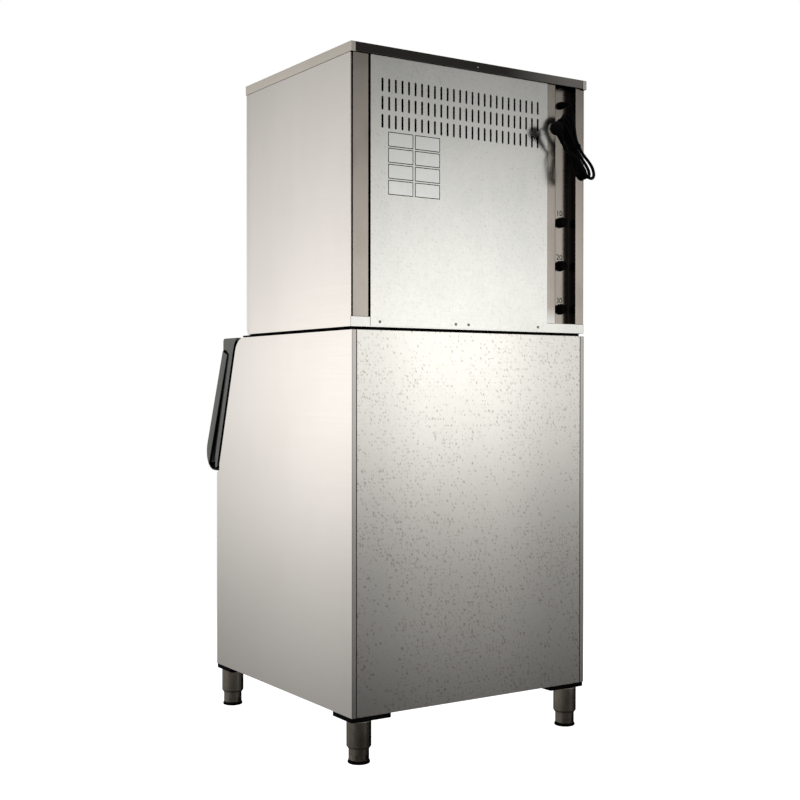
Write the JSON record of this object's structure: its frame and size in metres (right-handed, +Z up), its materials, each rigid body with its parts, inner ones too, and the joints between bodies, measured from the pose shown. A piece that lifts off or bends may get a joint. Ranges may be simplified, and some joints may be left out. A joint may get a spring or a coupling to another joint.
{
  "type": "commercial ice maker",
  "caption": "Modular ice maker: an ice-making head with a vented rear panel and service recess on an insulated storage bin with a sloping hinged door and levelling legs.",
  "frame": {"origin": "on the floor, under the middle of the machine's box without its supply cord", "axes": "+Z up, the bin door faces -Y, +X is the right-hand side seen from the front"},
  "size_m": [0.764, 0.9399, 1.799],
  "materials": {
    "stainless": "satin brushed",
    "galvanised": "galvanised sheet",
    "black_plastic": "moulded",
    "gloss_black": "moulded",
    "grey_plastic": "moulded",
    "white_plastic": "moulded",
    "foam": "faced insulation board",
    "rubber": "moulded",
    "dark_steel": "dark plated",
    "nickel": "nickel plated",
    "aluminium": "mill",
    "black_paint": "gloss paint"
  },
  "bodies": {
    "machine": {"bin_side_right": "stainless", "bin_side_left": "stainless", "bin_front_panel": "stainless", "bin_top_panel": "stainless", "head_side_right": "stainless", "head_side_left": "stainless", "head_front_panel": "stainless", "top_cover": "stainless", "rear_post_right": "stainless", "rear_post_left": "stainless", "bin_rear_panel": "galvanised", "bin_floor": "galvanised", "head_base": "galvanised", "rear_panel": "galvanised", "service_channel": "galvanised", "condenser_shelf": "galvanised", "fan_shroud": "galvanised", "bin_drain": "black_plastic", "water_inlet_fitting": "black_plastic", "water_drain_fitting": "black_plastic", "condensate_drain_fitting": "black_plastic", "cable_gland": "black_plastic", "switch_bezel": "black_plastic", "corner_pad_rear_right": "black_plastic", "corner_pad_rear_left": "black_plastic", "corner_pad_front_right": "black_plastic", "corner_pad_front_left": "black_plastic", "door_frame": "grey_plastic", "control_box": "grey_plastic", "bin_liner": "white_plastic", "distribution_tube": "white_plastic", "water_trough": "white_plastic", "pump_hose": "white_plastic", "partition_wall": "foam", "seam_gasket": "rubber", "supply_cord": "rubber", "cord_hank": "rubber", "plug_lead": "rubber", "cord_plug": "rubber", "leg_sleeve_rear_right": "dark_steel", "leg_sleeve_rear_left": "dark_steel", "leg_sleeve_front_right": "dark_steel", "leg_sleeve_front_left": "dark_steel", "evaporator": "nickel", "condenser": "aluminium", "fan_motor": "black_paint", "compressor": "black_paint", "water_pump": "black_paint"},
    "door": {"door_shell": "grey_plastic", "door_liner": "black_plastic", "door_gasket": "rubber", "hinge_pin_right": "stainless", "hinge_pin_left": "stainless"},
    "fan": {"fan_rotor": "black_plastic"},
    "curtain": {"water_curtain": "white_plastic"},
    "rocker": {"power_rocker": "gloss_black"},
    "foot_rear_right_body": {"foot_rear_right": "dark_steel"},
    "foot_rear_left_body": {"foot_rear_left": "dark_steel"},
    "foot_front_right_body": {"foot_front_right": "dark_steel"},
    "foot_front_left_body": {"foot_front_left": "dark_steel"}
  },
  "joints": [
    {"name": "door_hinge", "type": "hinge", "parent": "machine", "child": "door", "pos_m": [0, -0.30896, 1.0295], "axis": [-1, 0, 0], "range_deg": [0, 90]},
    {"name": "fan_spin", "type": "hinge", "parent": "machine", "child": "fan", "pos_m": [0.03715, 0.3262, 1.6115], "axis": [0, 1, 0], "continuous": true},
    {"name": "curtain_swing", "type": "hinge", "parent": "machine", "child": "curtain", "pos_m": [0, -0.0263, 1.637], "axis": [-1, 0, 0], "range_deg": [0, 15]},
    {"name": "power_rocker_tilt", "type": "hinge", "parent": "machine", "child": "rocker", "pos_m": [0.27, -0.1506, 1.615], "axis": [-1, 0, 0], "range_deg": [0, 20]},
    {"name": "foot_rear_right_screw", "type": "slide", "parent": "machine", "child": "foot_rear_right_body", "axis": [0, 0, -1], "range_m": [0, 0.025]},
    {"name": "foot_rear_left_screw", "type": "slide", "parent": "machine", "child": "foot_rear_left_body", "axis": [0, 0, -1], "range_m": [0, 0.025]},
    {"name": "foot_front_right_screw", "type": "slide", "parent": "machine", "child": "foot_front_right_body", "axis": [0, 0, -1], "range_m": [0, 0.025]},
    {"name": "foot_front_left_screw", "type": "slide", "parent": "machine", "child": "foot_front_left_body", "axis": [0, 0, -1], "range_m": [0, 0.025]}
  ]
}
